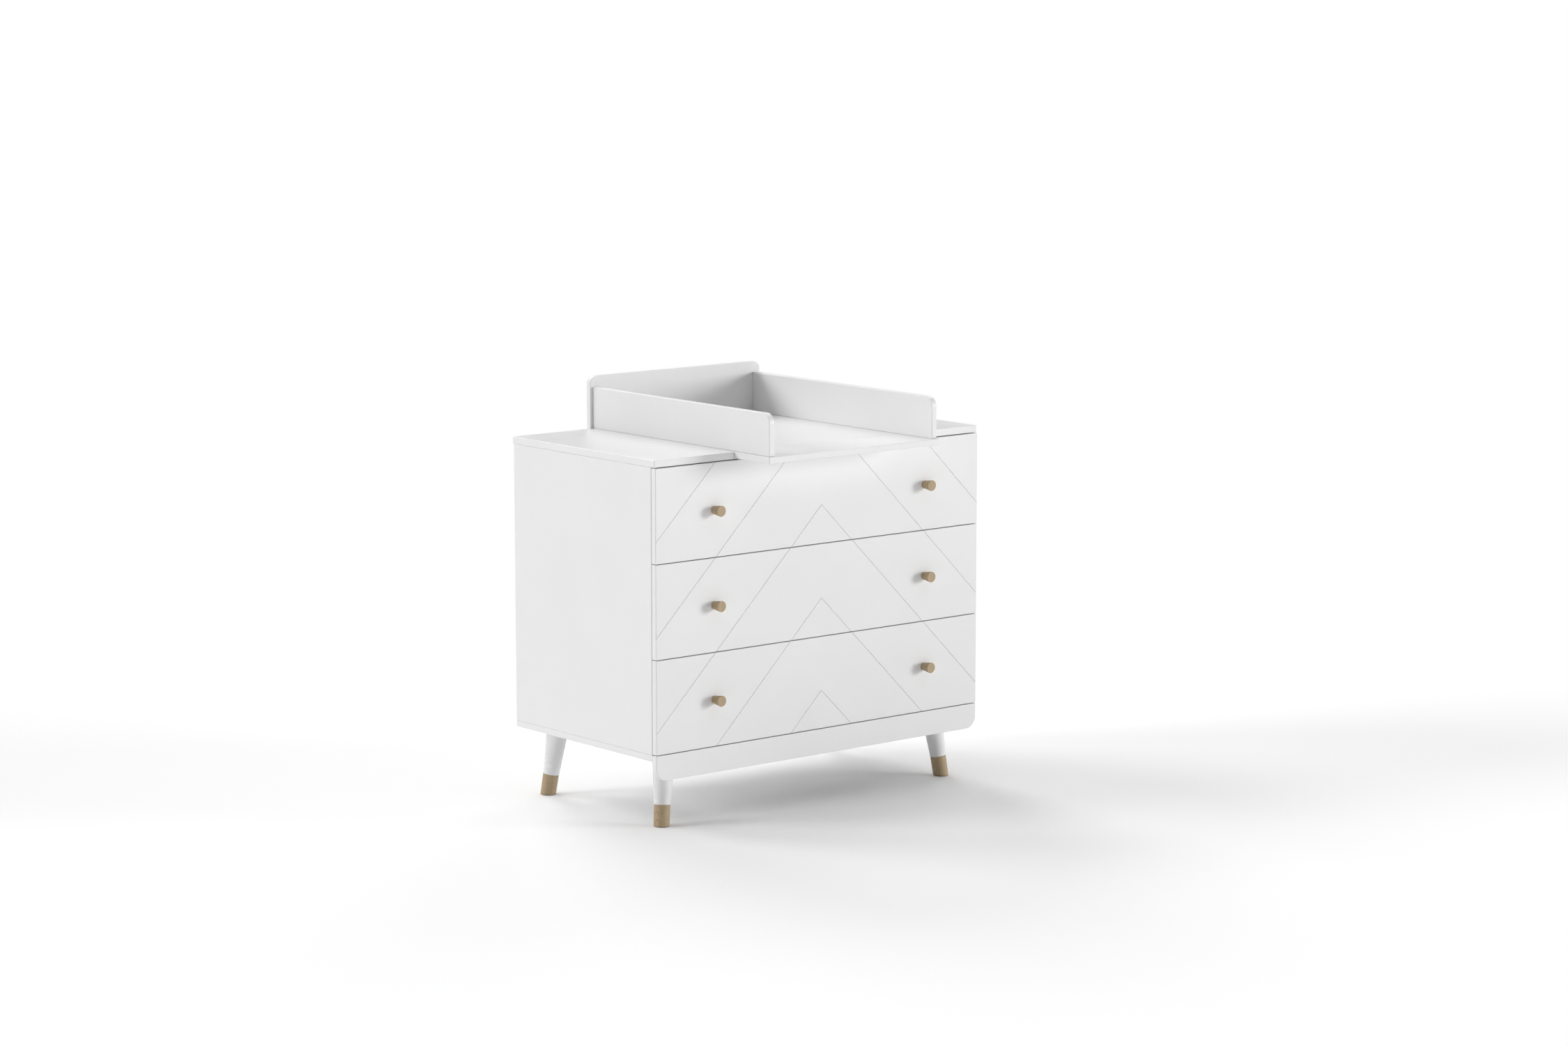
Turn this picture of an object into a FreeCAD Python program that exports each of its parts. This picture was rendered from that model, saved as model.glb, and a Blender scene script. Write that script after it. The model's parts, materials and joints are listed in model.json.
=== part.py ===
import FreeCAD, Part
import math
import os

from FreeCAD import Vector

# Changing table: a chest of three wide drawers on splayed legs, with a changing surround on top.
# Millimetres, +Z up, X along the width, -Y towards the user who pulls the drawers.
# Origin: on the floor, under the middle of the whole outline.

# --- Driving dimensions -------------------------------------------------------------------

# Boards
board = 16.0                 # side panels, bottom panel, drawer fronts, apron, surround
top_board = 18.0             # chest top
thin_sheet = 3.0             # chest back
edge_round = 2.0             # softened edges of the lacquered boards
hole_play = 0.1              # clearance of a drilled hole around its screw or dowel, on the radius

# Chest
width = 1046.0
chest_depth = 583.0          # face of the drawer fronts to the back edge of the top
panel_depth = 563.0          # back of the drawer fronts to the back of the side panels
top_setback = 3.5            # front edge of the top behind the face of the drawer fronts
leg_height = 176.5           # floor to the underside of the bottom panel
apron_drop = 48.0            # apron below the underside of the bottom panel
apron_corner = 32.0
rail_depth = 60.0

# Drawers, counted from the bottom
drawer_count = 3
drawer_pitch = 235.0
drawer_gap = 2.0
stop_gap = 1.5               # between a closed drawer front and the edges of the side panels
box_board = 12.0
box_length = 510.0
box_height = 170.0
box_lift = 22.0              # box above the lower edge of its front
box_floor = 6.0
floor_rebate = 5.0           # how far the drawer floor enters the boards around it
floor_lift = 10.0            # drawer floor above the lower edge of the box
floor_play = 0.15

# Chevron grooves in the drawer fronts
groove_slope = 0.985         # fall per unit of width
groove_apex = 98.0           # highest point of a chevron above the gap under its drawer
groove_width = 1.8           # at the face
groove_floor = 0.6
groove_depth = 1.5
groove_bands = 3

# Runners: three nested members on each side of a drawer
runner_gap = 12.7            # between side panel and drawer box
runner_length = 500.0
runner_front = 2.0           # behind the front edge of the side panels
runner_lift = 62.0           # runner axis above the lower edge of the box
runner_steel = 1.5
runner_height = 45.0
runner_play = 0.6

# Knobs
knob_spread = 342.0          # each knob from the middle of its drawer
knob_length = 29.0
knob_base_diameter = 19.5
knob_face_diameter = 27.5
knob_screw_diameter = 4.0
knob_screw_reach = 16.0      # into the knob
knob_screw_head = 9.0
knob_screw_head_height = 2.5

# Legs
foot_spread_x = 459.8        # centre of each foot from the middle plane
foot_spread_y = 234.6        # centre of each foot from the middle of the side panels
lean_x = 0.118               # sideways lean outward per unit of height
lean_y = 0.095
glide_height = 1.5
glide_diameter = 33.0
tip_length = 53.5
tip_foot_diameter = 39.4
tip_top_diameter = 40.6
leg_foot_diameter = 41.4
leg_growth = 0.125           # gain of leg diameter per unit of its length
leg_plate_side = 62.0
leg_plate_thickness = 2.5
leg_bolt_diameter = 8.0
leg_bolt_head = 15.0         # across the corners of its hexagon
leg_bolt_reach = 45.0        # into the leg

# Changing surround
shelf_overhang = 132.0       # front shelf past the face of the drawer fronts
shelf_width = 552.0
surround_width = 541.0
wall_rise = 105.5            # side walls above the chest top
wall_setback = 7.0           # side walls behind the front edge of the shelf
wall_corner = 25.0
back_wall_width = 557.0
back_wall_rise = 133.0
back_wall_corner = 20.0
surround_screw_diameter = 5.0
surround_screw_length = 50.0
surround_screw_head = 9.0    # countersunk, flush with the board
surround_screw_head_depth = 2.6
recess_size = 5.0            # cross recess of every screw head
recess_depth = 1.6

# Dowels of the chest
dowel_diameter = 8.0
dowel_length = 30.0

# --- Derived places -----------------------------------------------------------------------

overall_depth = shelf_overhang + chest_depth + board
front_y = shelf_overhang - overall_depth / 2
front_back_y = front_y + board
panel_front = front_back_y + stop_gap
panel_back = front_back_y + panel_depth
chest_back = front_y + chest_depth
chest_middle_y = front_back_y + panel_depth / 2
half_width = width / 2
inner_half = half_width - board
box_half = inner_half - runner_gap
bottom_top = leg_height + board
first_gap_z = bottom_top + 1.0
side_top = first_gap_z + drawer_count * drawer_pitch + drawer_gap / 2
top_z = side_top + top_board
surround_half = surround_width / 2


# --- Small tools --------------------------------------------------------------------------

def block(x0, x1, y0, y1, z0, z1):
    return Part.makeBox(x1 - x0, y1 - y0, z1 - z0, Vector(x0, y0, z0))


def mirrored(x0, x1, side):
    """The span from x0 to x1 right of the middle plane, or its mirror image on the left."""
    return (x0, x1) if side > 0 else (-x1, -x0)


def softened(shape, radius=edge_round):
    return shape.makeFillet(radius, shape.Edges)


def corner_rounded(shape, radius, wanted):
    """Rounds the edges whose middle point satisfies wanted."""
    picked = [edge for edge in shape.Edges if wanted(edge.CenterOfMass)]
    return shape.makeFillet(radius, picked)


def rod(diameter, start, direction, length):
    return Part.makeCylinder(diameter / 2, length, start, direction)


def hexagon(diameter, centre, height):
    corners = [centre + Vector(math.cos(turn * math.pi / 3), math.sin(turn * math.pi / 3), 0)
               * (diameter / 2) for turn in range(7)]
    return Part.Face(Part.makePolygon(corners)).extrude(Vector(0, 0, height))


def drilled(shape, holes):
    for hole in holes:
        shape = shape.cut(hole)
    return shape


def save(shape, node):
    shape.exportStep("parts/" + node + ".step")


def side_name(side):
    return "right" if side > 0 else "left"


# --- Fasteners ----------------------------------------------------------------------------

def dowel_places():
    """Upright dowels that pin the side panels between the bottom panel and the top."""
    for side in (-1, 1):
        for share in (0.1, 0.37, 0.63, 0.9):
            for level in (bottom_top, side_top):
                yield side * (half_width - board / 2), front_back_y + share * panel_depth, level


def dowels(extra=0.0):
    depth_up = {bottom_top: 18.0, side_top: 12.0}
    return [
        rod(dowel_diameter + 2 * extra,
            Vector(x, y, level + depth_up[level] - dowel_length - extra),
            Vector(0, 0, 1), dowel_length + 2 * extra)
        for x, y, level in dowel_places()
    ]


def cross_recess(start, direction, size, depth):
    """Two crossed slots sunk into a screw head whose top is at start."""
    slots = [
        Part.makeBox(size, size / 5, depth + 1, Vector(-size / 2, -size / 10, -1)),
        Part.makeBox(size / 5, size, depth + 1, Vector(-size / 10, -size / 2, -1)),
    ]
    cross = slots[0].fuse(slots[1])
    cross.Placement = FreeCAD.Placement(start, FreeCAD.Rotation(Vector(0, 0, 1), direction))
    return cross


def countersunk_screw(start, direction, extra):
    """Screw whose head lies flush in the board, or the hole for it when extra is given."""
    shank = rod(surround_screw_diameter + 2 * extra, start, direction,
                surround_screw_length + extra)
    head = Part.makeCone(surround_screw_head / 2 + extra, surround_screw_diameter / 2 + extra,
                         surround_screw_head_depth, start, direction)
    screw = shank.fuse(head).removeSplitter()
    if extra:
        return screw
    return screw.cut(cross_recess(start, direction, recess_size, recess_depth))


def surround_screws(extra=0.0):
    """Screws of the changing surround: up into the side walls, and forward from the back wall."""
    made = []
    wall_x = surround_half - board / 2
    up = Vector(0, 0, 1)
    forward = Vector(0, -1, 0)
    for side in (-1, 1):
        for y in (front_y - 90.0, front_y - 30.0):
            start = Vector(side * wall_x, y, top_z - board)
            made.append(countersunk_screw(start, up, extra))
        for y in (front_y + 120.0, front_y + 480.0):
            start = Vector(side * wall_x, y, side_top)
            made.append(countersunk_screw(start, up, extra))
        for height in (30.0, 80.0):
            start = Vector(side * wall_x, chest_back + board, top_z + height)
            made.append(countersunk_screw(start, forward, extra))
    for x in (-180.0, 0.0, 180.0):
        start = Vector(x, chest_back + board, top_z - top_board / 2)
        made.append(countersunk_screw(start, forward, extra))
    return made


def leg_axis(side_x, side_y):
    """Foot centre on the floor and the unit vector from there up the leg."""
    foot = Vector(side_x * foot_spread_x, chest_middle_y + side_y * foot_spread_y, 0)
    upward = Vector(-side_x * lean_x, -side_y * lean_y, 1)
    upward.normalize()
    return foot, upward


def leg_corners():
    for side_y, row in ((-1, "front"), (1, "rear")):
        for side_x in (-1, 1):
            yield side_x, side_y, row + "_" + side_name(side_x)


def point_at_height(foot, upward, height):
    return foot + upward * (height / upward.z)


def leg_bolt(side_x, side_y, extra=0.0):
    foot, upward = leg_axis(side_x, side_y)
    tail = point_at_height(foot, upward, leg_height - leg_bolt_reach)
    rise = leg_bolt_reach + board + leg_plate_thickness + 3.0
    return rod(leg_bolt_diameter + 2 * extra, tail, upward, rise / upward.z)


def below(height):
    return block(-width, width, -width, width, height - width, height)


def above(height):
    return block(-width, width, -width, width, height, height + width)


# --- Chest --------------------------------------------------------------------------------

def make_chest():
    pins = dowels(hole_play)
    screws = surround_screws(hole_play)
    bolts = [leg_bolt(side_x, side_y, 0.5) for side_x, side_y, _ in leg_corners()]

    top = softened(block(-half_width, half_width, front_y + top_setback, chest_back,
                         side_top, top_z))
    save(drilled(top, pins + screws), "top_panel")

    bottom = softened(block(-half_width, half_width, front_back_y, panel_back,
                            leg_height, bottom_top))
    save(drilled(bottom, pins + bolts), "bottom_panel")

    for side in (-1, 1):
        x0, x1 = mirrored(inner_half, half_width, side)
        panel = softened(block(x0, x1, panel_front, panel_back, bottom_top, side_top))
        save(drilled(panel, pins), "side_panel_" + side_name(side))

    back = block(-half_width + 6, half_width - 6, panel_back, panel_back + thin_sheet,
                 leg_height + 4, side_top)
    save(back, "back_panel")

    apron = block(-half_width, half_width, front_y, front_back_y,
                  leg_height - apron_drop, first_gap_z - drawer_gap / 2)
    low = leg_height - apron_drop
    apron = corner_rounded(apron, apron_corner, lambda p: abs(p.x) > half_width - 1
                           and p.z < low + 1 and abs(p.y - front_y - board / 2) < 1)
    save(softened(apron), "apron")

    for gap, name in ((1, "lower"), (2, "upper")):
        middle = first_gap_z + gap * drawer_pitch
        rail = block(-inner_half, inner_half, panel_front + 2, panel_front + 2 + rail_depth,
                     middle - board / 2, middle + board / 2)
        save(softened(rail), "cross_rail_" + name)

    rear = block(-inner_half, inner_half, panel_back - board, panel_back,
                 side_top - rail_depth, side_top)
    save(softened(rear), "rear_rail")

    save(Part.makeCompound(dowels()), "carcass_dowels")


# --- Legs ---------------------------------------------------------------------------------

def make_legs():
    glides = []
    plates = []
    bolts = []
    for side_x, side_y, corner in leg_corners():
        foot, upward = leg_axis(side_x, side_y)

        glides.append(rod(glide_diameter, foot, Vector(0, 0, 1), glide_height))

        # The tip starts under the floor line and is cut level, so it stands flat on its pad.
        start = foot - upward * 15.0
        growth = (tip_top_diameter - tip_foot_diameter) / tip_length
        tip = Part.makeCone((tip_foot_diameter - 15.0 * growth) / 2, tip_top_diameter / 2,
                            tip_length + 15.0, start, upward)
        rim = [edge for edge in tip.Edges if edge.Closed and edge.CenterOfMass.z > 30]
        tip = tip.makeFillet(0.8, rim)
        tip = tip.cut(below(glide_height))
        save(tip, "leg_tip_" + corner)

        shoulder = foot + upward * tip_length
        span = leg_height / upward.z
        leg = Part.makeCone(leg_foot_diameter / 2, (leg_foot_diameter + leg_growth * span) / 2,
                            span, shoulder, upward)
        leg = leg.cut(above(leg_height))
        leg = leg.cut(leg_bolt(side_x, side_y, hole_play))
        save(leg, "leg_" + corner)

        bolt = leg_bolt(side_x, side_y)
        seat = point_at_height(foot, upward, bottom_top)
        half = leg_plate_side / 2
        plate = block(seat.x - half, seat.x + half, seat.y - half, seat.y + half,
                      bottom_top, bottom_top + leg_plate_thickness)
        plates.append(plate.cut(leg_bolt(side_x, side_y, 0.5)))

        crown = bottom_top + leg_plate_thickness
        head_centre = point_at_height(foot, upward, crown)
        head = hexagon(leg_bolt_head, Vector(head_centre.x, head_centre.y, crown), 5.0)
        shank = bolt.cut(above(crown + 2.0))
        bolts.append(shank.fuse(head).removeSplitter())

    save(Part.makeCompound(glides), "glide_pads")
    save(Part.makeCompound(plates), "leg_plates")
    save(Part.makeCompound(bolts), "leg_bolts")


# --- Drawers ------------------------------------------------------------------------------

def groove_cutter(side, band, base_z):
    """Prism with slightly tapered sides along one straight stretch of a chevron."""
    rise = groove_apex + drawer_pitch * band
    high = max(0.0, (rise - drawer_pitch) / groove_slope)
    low = rise / groove_slope
    start = Vector(side * high, front_y, base_z + rise - groove_slope * high)
    end = Vector(side * low, front_y, base_z + rise - groove_slope * low)
    along = end - start
    across = Vector(-along.z, 0, along.x)
    across.normalize()
    taper = (groove_width - groove_floor) / 2 / groove_depth
    proud = 1.0
    rim = across * (groove_width / 2 + taper * proud)
    foot = across * (groove_floor / 2)
    out = Vector(0, -proud, 0)
    deep = Vector(0, groove_depth, 0)
    corners = [start + rim + out, start - rim + out, start - foot + deep, start + foot + deep]
    profile = Part.Face(Part.makePolygon(corners + corners[:1]))
    return profile.extrude(along)


def knob_axis(side, base_z):
    return Vector(side * knob_spread, front_y, base_z + drawer_pitch / 2)


def knob_screw(side, base_z, extra=0.0):
    """Shank from the back of the drawer front into the knob."""
    place = knob_axis(side, base_z) + Vector(0, board, 0)
    return rod(knob_screw_diameter + 2 * extra, place, Vector(0, -1, 0),
               board + knob_screw_reach + extra)


def runner_member(side, web_out, flange_out, half_height, web_on_cabinet_side, z):
    """One C-shaped steel member; the distances run from the side panel towards the drawer."""
    near, far = min(web_out, flange_out), max(web_out, flange_out)
    y0 = panel_front + runner_front
    y1 = y0 + runner_length
    x0, x1 = mirrored(inner_half - far, inner_half - near, side)
    outer = block(x0, x1, y0, y1, z - half_height, z + half_height)
    if web_on_cabinet_side:
        cut_near, cut_far = near + runner_steel, far + 1
    else:
        cut_near, cut_far = near - 1, far - runner_steel
    x0, x1 = mirrored(inner_half - cut_far, inner_half - cut_near, side)
    inner = half_height - runner_steel
    return outer.cut(block(x0, x1, y0 - 1, y1 + 1, z - inner, z + inner))


def make_runners(number, z):
    half = runner_height / 2
    step = runner_steel + runner_play
    cabinet = [runner_member(side, 0, 10.0, half, True, z) for side in (-1, 1)]
    middle = [runner_member(side, runner_steel + 0.5, 11.0, half - step, True, z)
              for side in (-1, 1)]
    drawer = [runner_member(side, runner_gap, 4.2, half - 2 * step, False, z)
              for side in (-1, 1)]
    save(Part.makeCompound(cabinet), "runner_%d_cabinet_members" % number)
    save(Part.makeCompound(middle), "runner_%d_middle_members" % number)
    save(Part.makeCompound(drawer), "drawer_%d_runner_members" % number)


def make_drawer(number):
    name = "drawer_%d_" % number
    base_z = first_gap_z + (number - 1) * drawer_pitch
    front_low = base_z + drawer_gap / 2
    front_high = base_z + drawer_pitch - drawer_gap / 2
    box_low = front_low + box_lift
    box_high = box_low + box_height
    box_front = front_back_y
    box_back = box_front + box_length
    inside = box_half - box_board
    floor_low = box_low + floor_lift
    floor_high = floor_low + box_floor

    # The floor is let into the four boards around it.
    reach = floor_rebate
    floor = block(-inside - reach, inside + reach, box_front - reach, box_back - box_board + reach,
                  floor_low, floor_high)
    play = floor_play
    rebate = block(-inside - reach - play, inside + reach + play, box_front - reach - play,
                   box_back - box_board + reach + play, floor_low - play, floor_high + play)
    save(floor, name + "bottom")

    front = softened(block(-half_width, half_width, front_y, front_back_y,
                           front_low, front_high))
    for side in (-1, 1):
        for band in range(groove_bands):
            front = front.cut(groove_cutter(side, band, base_z))
        front = front.cut(knob_screw(side, base_z, hole_play))
    save(front.cut(rebate), name + "front")

    for side in (-1, 1):
        x0, x1 = mirrored(inside, box_half, side)
        wall = block(x0, x1, box_front, box_back, box_low, box_high)
        wall = corner_rounded(wall, 2.0, lambda p: abs(p.z - box_high) < 0.1
                              and abs(p.y - (box_front + box_back) / 2) < 1)
        save(wall.cut(rebate), name + "side_" + side_name(side))

    back = block(-inside, inside, box_back - box_board, box_back, box_low, box_high)
    back = corner_rounded(back, 2.0, lambda p: abs(p.z - box_high) < 0.1 and abs(p.x) < 1)
    save(back.cut(rebate), name + "back")

    screws = []
    for side in (-1, 1):
        place = knob_axis(side, base_z)
        knob = Part.makeCone(knob_base_diameter / 2, knob_face_diameter / 2, knob_length, place,
                             Vector(0, -1, 0))
        rim = [edge for edge in knob.Edges if edge.Closed
               and edge.CenterOfMass.y < front_y - knob_length / 2]
        knob = knob.makeFillet(1.0, rim)
        knob = knob.cut(knob_screw(side, base_z, hole_play))
        save(knob, name + "knob_" + side_name(side))
        seat = place + Vector(0, board, 0)
        crown = seat + Vector(0, knob_screw_head_height, 0)
        head = rod(knob_screw_head, seat, Vector(0, 1, 0), knob_screw_head_height)
        rim = [edge for edge in head.Edges if edge.Closed and edge.CenterOfMass.y > seat.y + 1]
        head = head.makeFillet(1.0, rim)
        head = head.cut(cross_recess(crown, Vector(0, -1, 0), recess_size, recess_depth))
        screws.append(knob_screw(side, base_z).fuse(head))
    save(Part.makeCompound(screws), name + "knob_screws")

    make_runners(number, box_low + runner_lift)


# --- Changing surround --------------------------------------------------------------------

def make_surround():
    screws = surround_screws(hole_play)
    shelf_front = front_y - shelf_overhang

    shelf = softened(block(-shelf_width / 2, shelf_width / 2, shelf_front,
                           front_y + top_setback, top_z - board, top_z))
    save(drilled(shelf, screws), "changer_front_shelf")

    wall_front = shelf_front + wall_setback
    wall_top = top_z + wall_rise
    for side in (-1, 1):
        x0, x1 = mirrored(surround_half - board, surround_half, side)
        wall = block(x0, x1, wall_front, chest_back, top_z, wall_top)
        wall = corner_rounded(wall, wall_corner, lambda p: abs(p.y - wall_front) < 0.1
                              and abs(p.z - wall_top) < 0.1)
        save(drilled(softened(wall), screws), "changer_%s_wall" % side_name(side))

    half = back_wall_width / 2
    back_top = top_z + back_wall_rise
    back = block(-half, half, chest_back, chest_back + board, side_top, back_top)
    back = corner_rounded(back, back_wall_corner, lambda p: abs(p.z - back_top) < 0.1
                          and abs(abs(p.x) - half) < 0.1)
    save(drilled(softened(back), screws), "changer_back_wall")

    save(Part.makeCompound(surround_screws()), "changer_screws")


os.makedirs("parts", exist_ok=True)
make_chest()
make_legs()
for drawer_number in range(1, drawer_count + 1):
    make_drawer(drawer_number)
make_surround()
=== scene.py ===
# Changing table: materials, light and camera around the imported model.
# Metres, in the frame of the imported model: +Z up, drawers open along -Y.
import json
import math

import bpy
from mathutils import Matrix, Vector

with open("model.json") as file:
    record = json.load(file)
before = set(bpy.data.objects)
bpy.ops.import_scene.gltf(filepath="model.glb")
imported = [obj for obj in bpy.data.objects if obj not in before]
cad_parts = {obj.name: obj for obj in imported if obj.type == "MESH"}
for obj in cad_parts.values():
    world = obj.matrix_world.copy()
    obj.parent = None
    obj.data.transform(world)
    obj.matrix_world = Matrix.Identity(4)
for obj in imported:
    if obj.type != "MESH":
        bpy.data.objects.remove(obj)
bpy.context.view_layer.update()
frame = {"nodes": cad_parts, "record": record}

# --- Colours (linear) ---------------------------------------------------------------------

lacquer_white = (0.83, 0.83, 0.83)
leg_white = (0.82, 0.82, 0.82)
foil_white = (0.66, 0.66, 0.65)
sheet_white = (0.62, 0.62, 0.61)
wood_light = (0.56, 0.435, 0.275)
wood_dark = (0.28, 0.20, 0.115)
steel_grey = (0.62, 0.63, 0.65)
felt_brown = (0.045, 0.035, 0.028)
floor_white = (0.93, 0.93, 0.93)

# --- Studio sizes -------------------------------------------------------------------------

floor_half_width = 250.0
camera_place = (-6.4177, -7.8352, 2.2448)
camera_tilt_down = 8.733     # degrees
camera_heading = -39.634     # degrees from +Y, negative towards +X
camera_lens = 92.85          # millimetres
camera_sensor = 36.0

# Broad distant lights: name, azimuth, elevation, strength and angular size. Azimuth 0 shines
# from the user's side, 90 from the right.
soft_lights = (
    ("right_key", 46.0, 7.0, 1.82, 22.0),
    ("right_fill", 15.0, 14.0, 0.06, 40.0),
    ("left_key", -117.0, 21.0, 1.17, 20.0),
    ("left_rear", -149.0, 39.0, 0.70, 22.0),
    ("rear_right", 163.0, 34.0, 1.00, 25.0),
    ("far_right", 122.0, 33.0, 0.42, 25.0),
    ("overhead", 0.0, 88.0, 1.50, 90.0),
)


# --- Node helpers -------------------------------------------------------------------------

# Sockets of the Mix node that carry the factor and the two colours
mix_factor, mix_first, mix_second, mix_result = 0, 6, 7, 2


class Shader:
    """A material under construction: one Principled shader and short calls to feed it."""

    def __init__(self, name):
        self.material = bpy.data.materials.new(name)
        self.material.use_nodes = True
        self.tree = self.material.node_tree
        self.tree.nodes.clear()
        self.surface = self.node("ShaderNodeBsdfPrincipled")
        output = self.node("ShaderNodeOutputMaterial")
        self.link(self.surface.outputs["BSDF"], output.inputs["Surface"])
        self.place = self.node("ShaderNodeTexCoord").outputs["Object"]

    def node(self, kind, **settings):
        made = self.tree.nodes.new(kind)
        for key, value in settings.items():
            setattr(made, key, value)
        return made

    def link(self, source, target):
        self.tree.links.new(source, target)

    def feed(self, socket, value):
        """A plain number goes on the socket, another socket is linked to it."""
        if isinstance(value, bpy.types.NodeSocket):
            self.link(value, socket)
        else:
            socket.default_value = value

    def fill(self, node, **values):
        for key, value in values.items():
            self.feed(node.inputs[key.replace("_", " ")], value)

    def mapped(self, scale=(1, 1, 1), rotation=(0, 0, 0), location=(0, 0, 0)):
        mapping = self.node("ShaderNodeMapping")
        self.fill(mapping, Vector=self.place, Scale=scale, Rotation=rotation, Location=location)
        return mapping.outputs["Vector"]

    def noise(self, scale, detail=3.0, vector=None, roughness=0.5):
        made = self.node("ShaderNodeTexNoise")
        self.fill(made, Vector=vector or self.place, Scale=scale, Detail=detail,
                  Roughness=roughness)
        return made.outputs["Fac"]

    def span(self, value, low, high, new_low, new_high):
        made = self.node("ShaderNodeMapRange")
        self.fill(made, Value=value, From_Min=low, From_Max=high, To_Min=new_low, To_Max=new_high)
        return made.outputs["Result"]

    def ramp(self, value, *stops):
        """Colour ramp through (position, colour) stops."""
        made = self.node("ShaderNodeValToRGB")
        elements = made.color_ramp.elements
        for index, (position, colour) in enumerate(stops):
            element = elements[index] if index < 2 else elements.new(position)
            element.position = position
            element.color = (*colour, 1.0)
        self.fill(made, Fac=value)
        return made.outputs["Color"]

    def mix(self, factor, first, second):
        """Blend of two colours, each a socket or a plain RGB colour."""
        made = self.node("ShaderNodeMix", data_type="RGBA")
        self.feed(made.inputs[mix_factor], factor)
        for place, colour in ((mix_first, first), (mix_second, second)):
            is_linked = isinstance(colour, bpy.types.NodeSocket)
            self.feed(made.inputs[place], colour if is_linked else (*colour, 1.0))
        return made.outputs[mix_result]

    def math(self, operation, *values):
        made = self.node("ShaderNodeMath", operation=operation)
        for socket, value in zip(made.inputs, values):
            self.feed(socket, value)
        return made.outputs["Value"]

    def bump(self, height, depth, strength=1.0, normal=None):
        made = self.node("ShaderNodeBump")
        self.fill(made, Height=height, Distance=depth, Strength=strength)
        if normal is not None:
            self.link(normal, made.inputs["Normal"])
        return made.outputs["Normal"]


def shade(colour, factor):
    return tuple(channel * factor for channel in colour)


# --- Materials ----------------------------------------------------------------------------

def lacquer(name, colour, roughness, specular):
    """Sprayed satin lacquer: faint orange peel, slightly uneven gloss and tone."""
    s = Shader(name)
    cloud = s.noise(5.0, detail=4.0)
    tone = s.ramp(cloud, (0.3, shade(colour, 0.985)), (0.7, shade(colour, 1.008)))
    s.fill(s.surface, Base_Color=tone, Roughness=s.span(s.noise(23.0), 0.3, 0.7,
                                                        roughness - 0.03, roughness + 0.04))
    s.surface.inputs["Specular IOR Level"].default_value = specular
    peel = s.bump(s.noise(700.0, detail=1.0), 0.00003)
    ripple = s.bump(s.noise(60.0, detail=2.0), 0.0001, normal=peel)
    s.link(ripple, s.surface.inputs["Normal"])
    return s.material


def foil(name, colour):
    """White printed foil on board, with a fine pressed grain along the board."""
    s = Shader(name)
    grain = s.noise(260.0, detail=4.0, vector=s.mapped(scale=(0.08, 0.08, 1.0)))
    tone = s.ramp(grain, (0.35, shade(colour, 0.965)), (0.65, colour))
    s.fill(s.surface, Base_Color=tone, Roughness=s.span(grain, 0.3, 0.7, 0.42, 0.55))
    s.link(s.bump(grain, 0.00006), s.surface.inputs["Normal"])
    return s.material


def fibre_sheet(name, colour):
    """Painted thin fibreboard: matt, with short pressed fibres."""
    s = Shader(name)
    fibres = s.noise(420.0, detail=5.0, vector=s.mapped(scale=(1.0, 1.0, 0.45)))
    cloud = s.noise(9.0, detail=3.0)
    tone = s.mix(s.span(cloud, 0.3, 0.7, 0.0, 0.5), s.ramp(fibres, (0.3, shade(colour, 0.93)),
                                                           (0.7, colour)), shade(colour, 0.97))
    s.fill(s.surface, Base_Color=tone, Roughness=s.span(fibres, 0.3, 0.7, 0.62, 0.8))
    s.link(s.bump(fibres, 0.00012), s.surface.inputs["Normal"])
    return s.material


def bare_wood(name, grain_rotation):
    """Pale close-grained hardwood. The rotation turns the piece's grain onto local Z."""
    rings_per_metre = 420.0
    ring_wander = 0.018
    heart_offset = (0.031, 0.047, 0.0)
    s = Shader(name)
    wander = s.noise(14.0, detail=2.0, vector=s.mapped(rotation=grain_rotation,
                                                      scale=(1.0, 1.0, 0.3)))
    across = s.node("ShaderNodeSeparateXYZ")
    s.link(s.mapped(rotation=grain_rotation, location=heart_offset), across.inputs[0])
    radius = s.math("SQRT", s.math("ADD", s.math("POWER", across.outputs["X"], 2.0),
                                   s.math("POWER", across.outputs["Y"], 2.0)))
    wavy_radius = s.math("MULTIPLY_ADD", wander, ring_wander, radius)
    rings = s.math("FRACT", s.math("MULTIPLY", wavy_radius, rings_per_metre))
    late_wood = s.ramp(rings, (0.0, (0.25,) * 3), (0.72, (0.35,) * 3), (0.93, (1.0,) * 3),
                       (1.0, (0.25,) * 3))
    fibres = s.noise(1500.0, detail=3.0, vector=s.mapped(rotation=grain_rotation,
                                                        scale=(1.0, 1.0, 0.035)))
    flecks = s.noise(900.0, detail=1.0, vector=s.mapped(rotation=grain_rotation,
                                                       scale=(1.0, 1.0, 0.16)))
    fleck_mask = s.span(flecks, 0.64, 0.72, 0.0, 0.45)
    body = s.mix(s.math("MULTIPLY", late_wood, 0.62), wood_light, wood_dark)
    streaks = s.noise(420.0, detail=2.0, vector=s.mapped(rotation=grain_rotation,
                                                        scale=(1.0, 1.0, 0.02)))
    body = s.mix(s.span(streaks, 0.35, 0.65, 0.0, 0.30), body, shade(wood_dark, 1.05))
    body = s.mix(s.span(fibres, 0.3, 0.7, 0.0, 0.22), body, shade(wood_dark, 0.9))
    body = s.mix(fleck_mask, body, shade(wood_dark, 0.62))
    s.fill(s.surface, Base_Color=body, Roughness=s.span(fibres, 0.3, 0.7, 0.46, 0.62))
    s.surface.inputs["Specular IOR Level"].default_value = 0.35
    pores = s.math("SUBTRACT", fibres, s.math("MULTIPLY", fleck_mask, 0.8))
    s.link(s.bump(pores, 0.00008), s.surface.inputs["Normal"])
    return s.material


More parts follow.
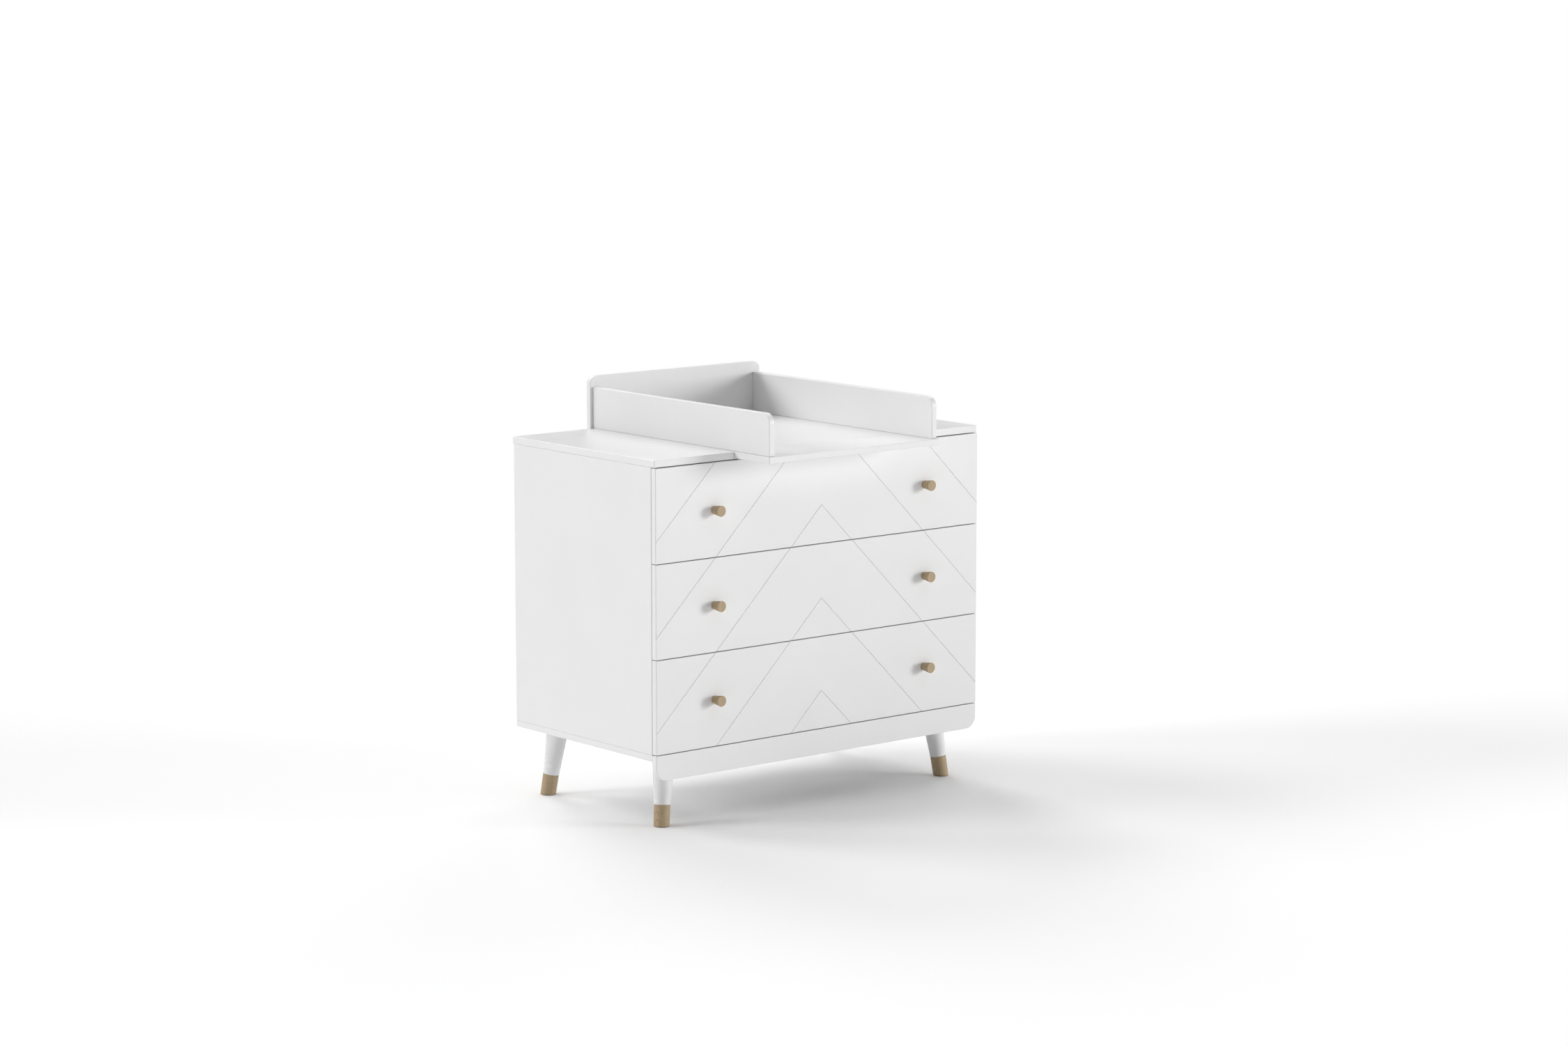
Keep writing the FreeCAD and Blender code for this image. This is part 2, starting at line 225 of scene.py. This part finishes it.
def plated_steel(name, colour, roughness):
    """Zinc-plated rolled steel: drawn lines along Y and a faintly cloudy plating."""
    s = Shader(name)
    lines = s.noise(1800.0, detail=2.0, vector=s.mapped(scale=(1.0, 0.01, 1.0)))
    cloud = s.noise(40.0, detail=4.0)
    tone = s.ramp(cloud, (0.3, shade(colour, 0.88)), (0.7, colour))
    s.fill(s.surface, Base_Color=tone, Roughness=s.math("MULTIPLY_ADD", lines, 0.18, roughness))
    s.surface.inputs["Metallic"].default_value = 1.0
    s.link(s.bump(lines, 0.00002), s.surface.inputs["Normal"])
    return s.material


def felt(name, colour):
    s = Shader(name)
    fuzz = s.noise(2600.0, detail=6.0, roughness=0.7)
    tone = s.ramp(fuzz, (0.3, shade(colour, 0.5)), (0.7, shade(colour, 1.6)))
    s.fill(s.surface, Base_Color=tone)
    s.surface.inputs["Roughness"].default_value = 0.95
    s.link(s.bump(fuzz, 0.0004), s.surface.inputs["Normal"])
    return s.material


def studio_floor(name, colour):
    s = Shader(name)
    cloud = s.noise(0.8, detail=2.0)
    s.fill(s.surface, Base_Color=s.ramp(cloud, (0.3, shade(colour, 0.998)), (0.7, colour)))
    s.surface.inputs["Roughness"].default_value = 0.9
    s.surface.inputs["Specular IOR Level"].default_value = 0.0
    return s.material


def dress(node, material):
    mesh = frame["nodes"][node].data
    mesh.materials.clear()
    mesh.materials.append(material)


painted = lacquer("satin_lacquer", lacquer_white, 0.38, 0.4)
leg_paint = lacquer("leg_lacquer", leg_white, 0.24, 0.75)
box_foil = foil("drawer_foil", foil_white)
back_paint = fibre_sheet("back_sheet", sheet_white)
upright_wood = bare_wood("upright_wood", (0.0, 0.0, 0.0))
knob_wood = bare_wood("knob_wood", (math.radians(90.0), 0.0, 0.0))
runner_steel = plated_steel("runner_steel", steel_grey, 0.24)
screw_steel = plated_steel("screw_steel", shade(steel_grey, 1.05), 0.3)
dark_felt = felt("dark_felt", felt_brown)

by_slot = {
    "white_lacquer": painted,
    "leg_lacquer": leg_paint,
    "drawer_board": box_foil,
    "back_sheet": back_paint,
    "bare_wood": upright_wood,
    "dowel_wood": upright_wood,
    "runner_steel": runner_steel,
    "zinc_steel": screw_steel,
    "glide_felt": dark_felt,
}
for part in frame["record"]["subparts"]:
    is_knob = "_knob_" in part["node"] and part["material_slot"] == "bare_wood"
    dress(part["node"], knob_wood if is_knob else by_slot[part["material_slot"]])


# --- Studio -------------------------------------------------------------------------------

scene = bpy.context.scene


def make_floor():
    mesh = bpy.data.meshes.new("studio_floor")
    half = floor_half_width
    corners = [(-half, -half, 0), (half, -half, 0), (half, half, 0), (-half, half, 0)]
    mesh.from_pydata(corners, [], [(0, 1, 2, 3)])
    mesh.materials.append(studio_floor("studio_floor", floor_white))
    floor = bpy.data.objects.new("studio_floor", mesh)
    scene.collection.objects.link(floor)


def make_soft_light(name, azimuth, elevation, strength, softness):
    light = bpy.data.lights.new(name, "SUN")
    light.energy = strength
    light.angle = math.radians(softness)
    lamp = bpy.data.objects.new(name, light)
    a = math.radians(azimuth)
    e = math.radians(elevation)
    source = Vector((math.sin(a) * math.cos(e), -math.cos(a) * math.cos(e), math.sin(e)))
    lamp.rotation_mode = "QUATERNION"
    lamp.rotation_quaternion = source.to_track_quat("Z", "Y")
    scene.collection.objects.link(lamp)


def make_world():
    """White behind the floor's far edge. It is seen, but doesn't light the object."""
    world = bpy.data.worlds.new("studio")
    scene.world = world
    world.use_nodes = True
    background = world.node_tree.nodes["Background"]
    background.inputs["Color"].default_value = (1.0, 1.0, 1.0, 1.0)
    background.inputs["Strength"].default_value = 1.0
    for ray in ("diffuse", "glossy", "transmission", "scatter"):
        setattr(world.cycles_visibility, ray, False)


def make_camera():
    data = bpy.data.cameras.new("camera")
    data.lens = camera_lens
    data.sensor_width = camera_sensor
    camera = bpy.data.objects.new("camera", data)
    camera.location = camera_place
    camera.rotation_euler = (math.radians(90.0 - camera_tilt_down), 0.0,
                             math.radians(camera_heading))
    scene.collection.objects.link(camera)
    scene.camera = camera


make_floor()
for settings in soft_lights:
    make_soft_light(*settings)
make_world()
make_camera()
scene.view_settings.view_transform = "Standard"
